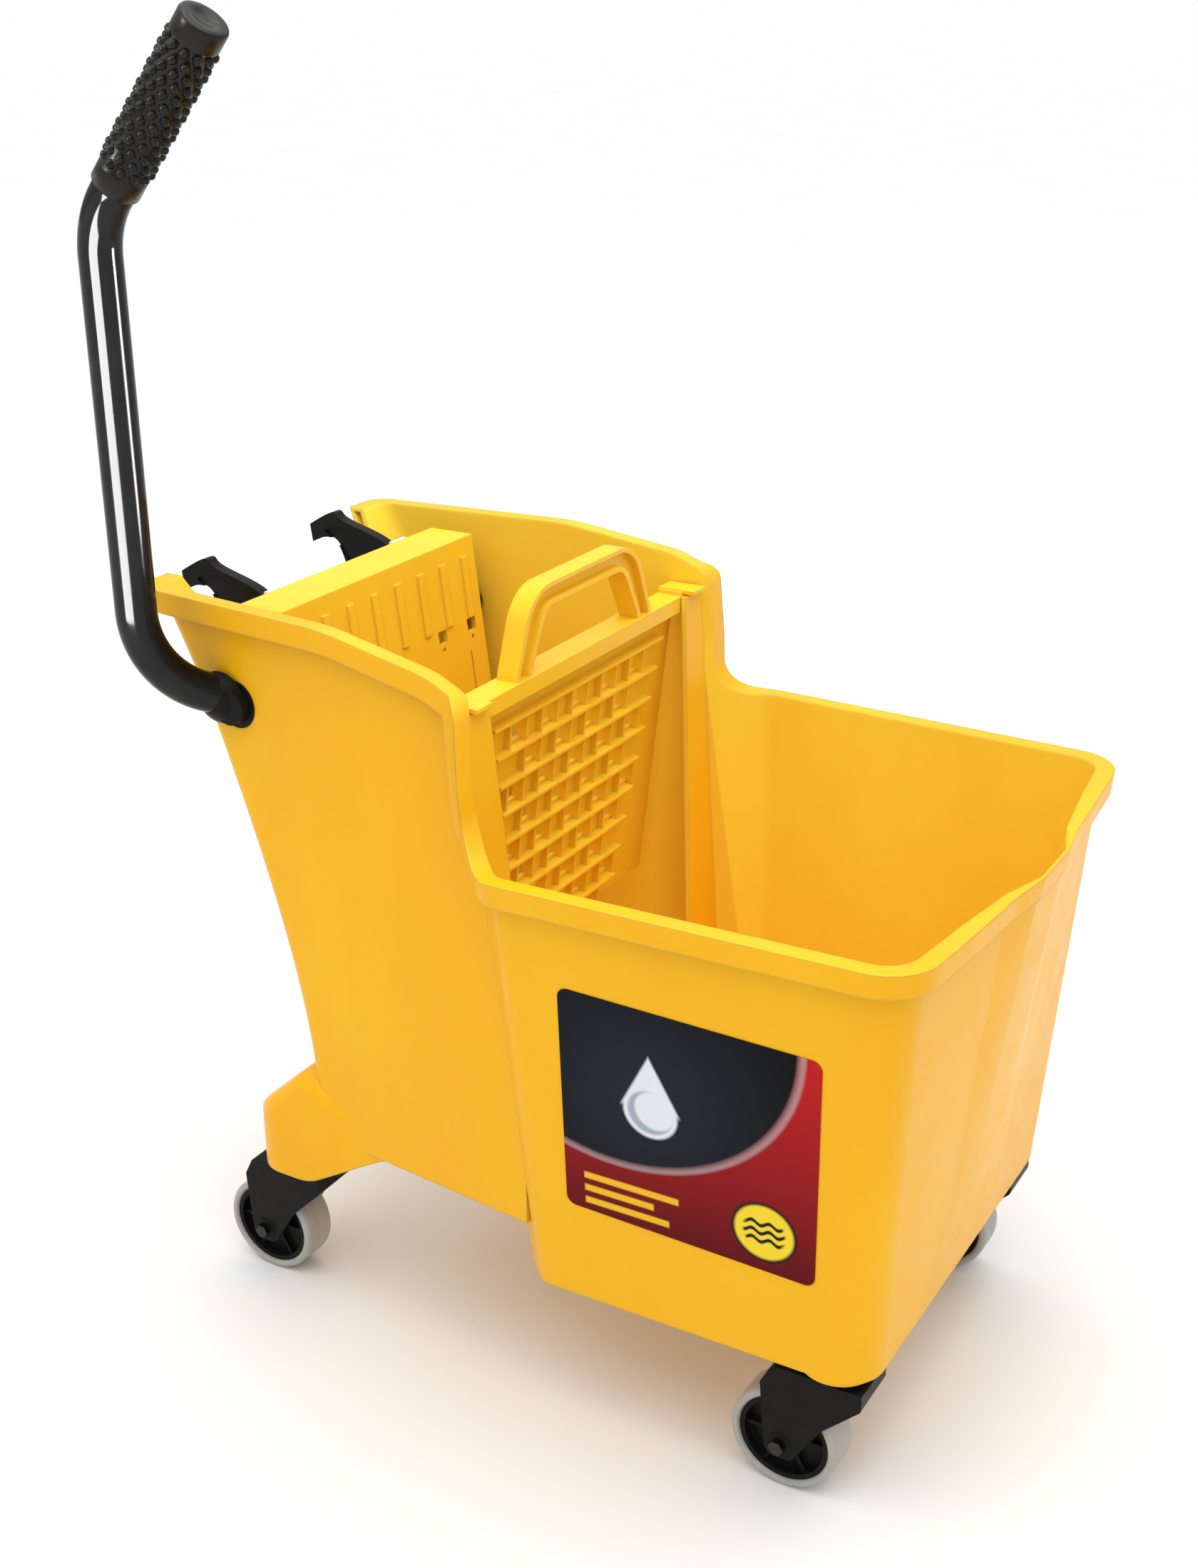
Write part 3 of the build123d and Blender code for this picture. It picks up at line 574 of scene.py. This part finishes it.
def make_floor():
    """A pale plane that reaches to the horizon."""
    s = Shader("pale_floor", Specular_IOR_Level=0.1)
    material = s.finish(s.blend(s.noise(3.0, 3.0), grey(0.78), grey(0.82)), 0.8)
    mesh = bpy.data.meshes.new("floor")
    corners = [(x * FLOOR_EXTENT, y * FLOOR_EXTENT, 0.0)
               for x, y in ((-1, -1), (1, -1), (1, 1), (-1, 1))]
    mesh.from_pydata(corners, [], [(0, 1, 2, 3)])
    mesh.materials.append(material)
    floor = bpy.data.objects.new("floor", mesh)
    bpy.context.scene.collection.objects.link(floor)


def make_sky():
    """A white room that lights the object mostly from overhead and looks plain from any side."""
    world = bpy.data.worlds.new("studio")
    world.use_nodes = True
    nodes, links = world.node_tree.nodes, world.node_tree.links
    place = nodes.new("ShaderNodeTexCoord")
    axes = nodes.new("ShaderNodeSeparateXYZ")
    strength = nodes.new("ShaderNodeMapRange")
    for socket, value in zip(strength.inputs[1:5], SKY_RANGE):
        socket.default_value = value
    links.new(place.outputs["Generated"], axes.inputs[0])
    links.new(axes.outputs["Z"], strength.inputs[0])
    seen = nodes.new("ShaderNodeMix")
    links.new(nodes.new("ShaderNodeLightPath").outputs["Is Camera Ray"], seen.inputs[0])
    links.new(strength.outputs[0], seen.inputs[2])
    seen.inputs[3].default_value = SKY_SEEN
    links.new(seen.outputs[0], nodes["Background"].inputs["Strength"])
    nodes["Background"].inputs["Color"].default_value = (1.0, 1.0, 1.0, 1.0)
    bpy.context.scene.world = world


def make_lights(tube_parts, grip_parts):
    """Softboxes for the whole object, and a few that only put highlights on the lever and grip."""
    middle = (0, 0, 0.4)
    area_light("key", (0.0, -1.3, 2.6), middle, 1.6, 1.2, 8)
    area_light("fill", (2.2, -0.9, 1.6), middle, 1.2, 1.6, 0.8)
    area_light("top", (0.3, 0.0, 2.4), middle, 1.6, 1.6, 18)
    target = (-0.26, -0.19, 0.62)
    area_light("strip_front", (-0.10, -1.69, 0.45), target, 1.2, 1.0, 330, tube_parts)
    area_light("strip_side", (1.14, 0.35, 0.66), target, 0.34, 0.9, 95, tube_parts)
    area_light("glint", (-0.9, -1.4, 1.5), (-0.2, -0.19, 0.88), 0.25, 0.25, 14, grip_parts)
    bpy.context.scene.view_settings.view_transform = "Standard"


# ---- assembly -----------------------------------------------------------------------------------
CORNERS = ("front_near", "front_far", "rear_near", "rear_far")


def dress_nodes(materials, by_node):
    """Gives every CAD node the material of its slot in the record, or one of its own."""
    for row in frame["record"]["subparts"]:
        node = NODES[row["node"]]
        node.data.materials.clear()
        node.data.materials.append(by_node.get(row["node"], materials[row["material_slot"]]))


def make_materials():
    """One material for each slot in the record."""
    return {
        "bucket_plastic": yellow_plastic("bucket_plastic", 3.0 * MM, True),
        "label_print": label_print(),
        "black_plastic": black_plastic(),
        "black_tube": black_tube(),
        "grip_rubber": grip_rubber(),
        "zinc_steel": steel("zinc_steel", (0.50, 0.50, 0.47, 1), (0.68, 0.67, 0.62, 1), 0.22, 0.42),
        "black_steel": steel("black_steel", grey(0.03), grey(0.07), 0.25, 0.45),
        "pad_plastic": pad_plastic(),
        "tread_rubber": tread_rubber(),
    }


def main():
    materials = make_materials()
    thin_yellow = yellow_plastic("bucket_plastic_thin", 1.0 * MM, False)
    make_camera()
    make_floor()
    make_sky()
    dress_nodes(materials, {"press_plate": thin_yellow, "grid_plate": thin_yellow})
    tube_parts = bpy.data.collections.new("tube_parts")
    grip_parts = bpy.data.collections.new("grip_parts")
    tube_parts.objects.link(make_lever(materials["black_tube"]))
    grip_parts.objects.link(make_grip(materials["grip_rubber"]))
    make_lights(tube_parts, grip_parts)
    for corner in CORNERS:
        make_tread(corner, materials["tread_rubber"])


main()
bpy.context.view_layer.update()
